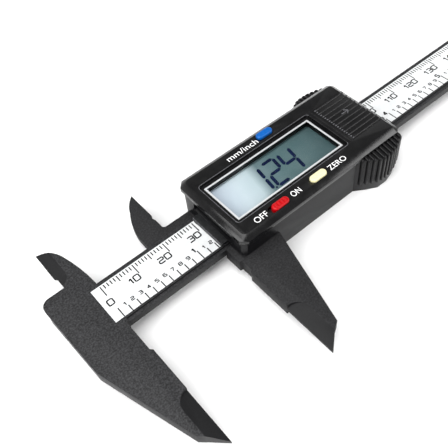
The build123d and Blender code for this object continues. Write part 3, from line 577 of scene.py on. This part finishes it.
# ---------------------------------------------------------------- the reading
def reading(text, first_x, pitch, width, height, pen, lean):
    """Slanted seven-segment figures that lie on the glass."""
    lit = {"1": "bc", "2": "abged", "4": "fgbc"}
    h, g = height / 2, 0.10
    verts, polygons = [], []

    def bar(ax, ay, bx, by):
        dx, dy = bx - ax, by - ay
        size = math.hypot(dx, dy)
        ux, uy = dx / size, dy / size
        ax, ay, bx, by = ax + ux * g, ay + uy * g, bx - ux * g, by - uy * g
        p = pen / 2
        ring = [(ax, ay), (ax + (ux - uy) * p, ay + (uy + ux) * p),
                (bx + (-ux - uy) * p, by + (-uy + ux) * p), (bx, by),
                (bx + (-ux + uy) * p, by + (-uy - ux) * p), (ax + (ux + uy) * p, ay + (uy - ux) * p)]
        place(ring)

    def place(ring):
        first = len(verts)
        for z in (0.0, 0.03):
            verts.extend([(slider_x + (cell + x + y * lean) * MM, mid_y + y * MM,
                           glass_high.z + (0.01 + z) * MM) for x, y in ring])
        n = len(ring)
        polygons.append([first + i for i in reversed(range(n))])
        polygons.append([first + n + i for i in range(n)])
        polygons.extend([first + i, first + (i + 1) % n, first + n + (i + 1) % n, first + n + i]
                        for i in range(n))

    segments = {"a": (0, h, width, h), "b": (width, h, width, 0), "c": (width, 0, width, -h),
                "d": (0, -h, width, -h), "e": (0, 0, 0, -h), "f": (0, h, 0, 0), "g": (0, 0, width, 0)}
    for number, letter in enumerate(text.replace(".", "")):
        cell = first_x + number * pitch
        for key in lit[letter]:
            bar(*segments[key])
    cell = first_x + text.index(".") * pitch - (pitch - width) / 2
    dot = 0.3 * pen
    place([(-dot, -h - dot), (dot, -h - dot), (dot, -h + dot), (-dot, -h + dot)])
    obj = mesh_object("display_reading", verts, (), polygons)
    bm = bmesh.new()
    bm.from_mesh(obj.data)
    bmesh.ops.recalc_face_normals(bm, faces=bm.faces)
    bm.to_mesh(obj.data)
    bm.free()
    keep(obj, "slider", segment_blue)


reading("1.24", 17.0, 5.85, 4.1, 8.9, 1.05, 0.154)


# ---------------------------------------------------------------- legends on the cover
def legend(text, left, right, middle, cap):
    """White sans letters between two places along the cover, all in mm."""
    curve = bpy.data.curves.new("legend", "FONT")
    curve.body = text
    curve.size = 1.0
    curve.offset = 0.0
    curve.extrude = 0.0
    obj = bpy.data.objects.new("legend", curve)
    bpy.context.scene.collection.objects.link(obj)
    bpy.context.view_layer.update()
    graph = bpy.context.evaluated_depsgraph_get()
    mesh = bpy.data.meshes.new_from_object(obj.evaluated_get(graph))
    bpy.data.objects.remove(obj)
    xs = [v.co.x for v in mesh.vertices]
    wide = (right - left) * MM / (max(xs) - min(xs))
    high = cap * MM / 0.73
    for v in mesh.vertices:
        v.co = (slider_x + left * MM + (v.co.x - min(xs)) * wide,
                mid_y + middle * MM + (v.co.y - 0.36) * high, cover_z + INK / 2)
    made = bpy.data.objects.new("legend_" + text.lower().replace("/", "_"), mesh)
    bpy.context.scene.collection.objects.link(made)
    solid = made.modifiers.new("ink", "SOLIDIFY")
    solid.thickness = INK
    solid.offset = 0.0
    evaluated(made)
    keep(made, "slider", ink_white)


legend("mm/inch", 16.4, 27.4, 10.6, 2.0)
legend("OFF", 7.6, 11.9, -10.9, 1.95)
legend("ON", 20.5, 23.7, -10.95, 1.95)
legend("ZERO", 34.3, 40.7, -11.15, 1.85)


# ---------------------------------------------------------------- ribs
RIB_COUNT, RIB_PITCH = 11, 1.5
RIB_WIDTH, RIB_DEPTH = 0.9, 1.1


def thumb_ribs(name, side):
    """Upright ribs on a thumb rest that wrap over its sloping top, laid on the frame's own wall."""
    body = body_far if side > 0 else body_near
    verts, edges = [], []
    for i in range(RIB_COUNT):
        x = frame_high.x - (0.5 + (RIB_COUNT - 1 - i) * RIB_PITCH) * MM
        wall = wall_y(x, 2 * MM, side)
        inner = body + side * 0.02 * MM
        rim = top_z(x, wall - side * 0.1 * MM)
        run = [(wall, frame_low.z + 3.0 * MM), (wall, rim - 0.2 * MM), (wall - side * 0.35 * MM, rim),
               (inner, max(rim, top_z(x, inner)))]
        first = len(verts)
        verts += [(x, y, z) for y, z in run]
        edges += [(first + k, first + k + 1) for k in range(len(run) - 1)]
    grown(mesh_object(name, verts, edges), bars_tree, {
        "Width": RIB_WIDTH * MM, "Height": RIB_DEPTH * MM, "Corner": 0.5 * MM,
        "Section Corner": 0.25 * MM, "Material": rib_black}, "slider", smooth=True)


thumb_ribs("thumb_ribs_near", -1)
thumb_ribs("thumb_ribs_far", 1)

# Straight ribs on the battery door, with a row of small pips at their ends and a double line.
DOOR_RIBS, DOOR_PITCH = 10, 1.69
rib_start = Vector((door_low.x + 0.9 * MM, mid_y - DOOR_PITCH * (DOOR_RIBS - 1) / 2 * MM,
                    door_high.z - 0.02 * MM))
grown(mesh_object("battery_door_ribs", [(0, 0, 0)]), ribs_tree, {
    "Count": DOOR_RIBS, "Start": rib_start, "Step": (0, DOOR_PITCH * MM, 0),
    "Along": (door_high.x - door_low.x - 2.2 * MM, 0, 0), "Radius": 0.22 * MM,
    "Material": gloss_black}, "door", smooth=True)
# The pips are grey: painted highlight on their edges.
grown(mesh_object("battery_door_pips", [(0, 0, 0)]), ribs_tree, {
    "Count": 2 * DOOR_RIBS - 1, "Start": rib_start - Vector((0.5 * MM, 0, 0)),
    "Step": (0, DOOR_PITCH / 2 * MM, 0), "Along": (0.45 * MM, 0, 0), "Radius": 0.2 * MM,
    "Material": edge_highlight_grey}, "door", smooth=True)
grown(mesh_object("cover_double_line", [(0, 0, 0)]), ribs_tree, {
    "Count": 2, "Start": (door_low.x - 1.9 * MM, door_low.y + 1.0 * MM, cover_z - 0.1 * MM),
    "Step": (1.1 * MM, 0, 0), "Along": (0, door_high.y - door_low.y - 2.0 * MM, 0),
    "Radius": 0.16 * MM, "Material": gloss_black}, "slider", smooth=True)

# An arrow moulded on the door, which points the way that it opens; its grey is a painted highlight on its ridges.
tip = Vector(((door_low.x + door_high.x) / 2 + 1.0 * MM, mid_y + 1.2 * MM, door_high.z + 0.1 * MM))
grown(mesh_object("battery_door_arrow",
                  [tip + Vector(v) * MM for v in ((-2.6, 0, 0), (0, 0, 0), (-1.0, 0.9, 0), (-1.0, -0.9, 0))],
                  [(0, 1), (2, 1), (3, 1)]), print_tree, {
    "Width": 0.3 * MM, "Height": 0.3 * MM, "Corner": 0.0, "Section Corner": 0.08 * MM,
    "Material": edge_highlight_grey}, "door", smooth=True)

grown(mesh_object("power_switch_ribs", [(0, 0, 0)]), ribs_tree, {
    "Count": 4, "Start": ((switch_low.x + switch_high.x) / 2 - 1.5 * MM,
                          (switch_low.y + switch_high.y) / 2 - 0.85 * MM, switch_high.z - 0.1 * MM),
    "Step": (1.0 * MM, 0, 0), "Along": (0, 1.7 * MM, 0), "Radius": 0.27 * MM,
    "Material": key_red}, "switch", smooth=True)

# A thin ring of painted highlight round the shallow recess of the display, a closed line with round corners.
recess_low = bezel_low - Vector((1.0, 1.1, 0)) * MM
recess_high = bezel_high + Vector((1.0, 1.1, 0)) * MM
ring_z = cover_z - 0.02 * MM
grown(mesh_object("display_recess_edge", [
    (recess_low.x, mid_y, ring_z), (recess_low.x, recess_low.y, ring_z),
    (recess_high.x, recess_low.y, ring_z), (recess_high.x, recess_high.y, ring_z),
    (recess_low.x, recess_high.y, ring_z), (recess_low.x, mid_y + 0.001 * MM, ring_z)],
    [(i, i + 1) for i in range(5)]), print_tree, {
    "Width": 0.2 * MM, "Height": 0.12 * MM, "Corner": 1.0 * MM, "Section Corner": 0.04 * MM,
    "Material": edge_highlight_grey}, "slider", smooth=True)

# The wiper's lip, where its edge is rounded: a grey rod of painted highlight along it.
wiper_low, wiper_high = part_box("scale_wiper")
grown(mesh_object("scale_wiper_lip", [(0, 0, 0)]), ribs_tree, {
    "Count": 1, "Start": (wiper_low.x + 0.12 * MM, wiper_low.y + 0.4 * MM, wiper_high.z - 0.05 * MM),
    "Step": (MM, 0, 0), "Along": (0, wiper_high.y - wiper_low.y - 0.8 * MM, 0),
    "Radius": 0.14 * MM, "Material": edge_highlight_grey}, "slider", smooth=True)

# ---------------------------------------------------------------- floor, light and camera
floor = mesh_object("floor", [(-3, -3, 0), (3, -3, 0), (3, 3, 0), (-3, 3, 0)], (), [(0, 1, 2, 3)])
paint(floor, mottled("paper_backdrop_pale", "#f2f2f2", "#f6f6f6", 40.0, (0.85, 0.9)))


def softbox(name, place, size, power, target=(-0.02, 0.0, 0.0)):
    light = bpy.data.lights.new(name, "AREA")
    light.shape = "RECTANGLE"
    light.size, light.size_y = size
    light.energy = power
    obj = bpy.data.objects.new(name, light)
    obj.location = place
    obj.rotation_mode = "QUATERNION"
    obj.rotation_quaternion = (Vector(target) - Vector(place)).to_track_quat("-Z", "Y")
    bpy.context.scene.collection.objects.link(obj)


softbox("overhead", (-0.35, 0.05, 1.1), (1.0, 1.0), 13.0)
softbox("left_wall", (-0.95, -0.15, 0.55), (0.7, 0.6), 7.0)
softbox("near_right", (0.65, -0.75, 0.55), (0.6, 0.5), 6.0)

world = bpy.data.worlds.new("studio")
world.use_nodes = True
bpy.context.scene.world = world
sky = world.node_tree
sky.nodes.clear()
height = add(sky, "ShaderNodeSeparateXYZ", {"Vector": add(sky, "ShaderNodeTexCoord").outputs["Generated"]})
fade = add(sky, "ShaderNodeMapRange", {"Value": height.outputs["Z"], "From Min": 0.1, "From Max": 0.7,
                                       "To Min": 0.95, "To Max": 0.35})
glow = add(sky, "ShaderNodeBackground", {"Color": linear("#ffffff"), "Strength": fade.outputs["Result"]})
add(sky, "ShaderNodeOutputWorld", {"Surface": glow.outputs[0]})

camera = bpy.data.objects.new("camera", bpy.data.cameras.new("camera"))
bpy.context.scene.collection.objects.link(camera)
camera.location = (-0.143143, -0.076521, 0.140001)
camera.rotation_euler = Euler([math.radians(a) for a in (37.5334, 3.1265, -41.0760)])
camera.data.lens = 49.457
camera.data.sensor_width = 36.0
camera.data.shift_x = -0.046875
camera.data.clip_start = 0.005
bpy.context.scene.camera = camera
bpy.context.scene.view_settings.view_transform = "Standard"
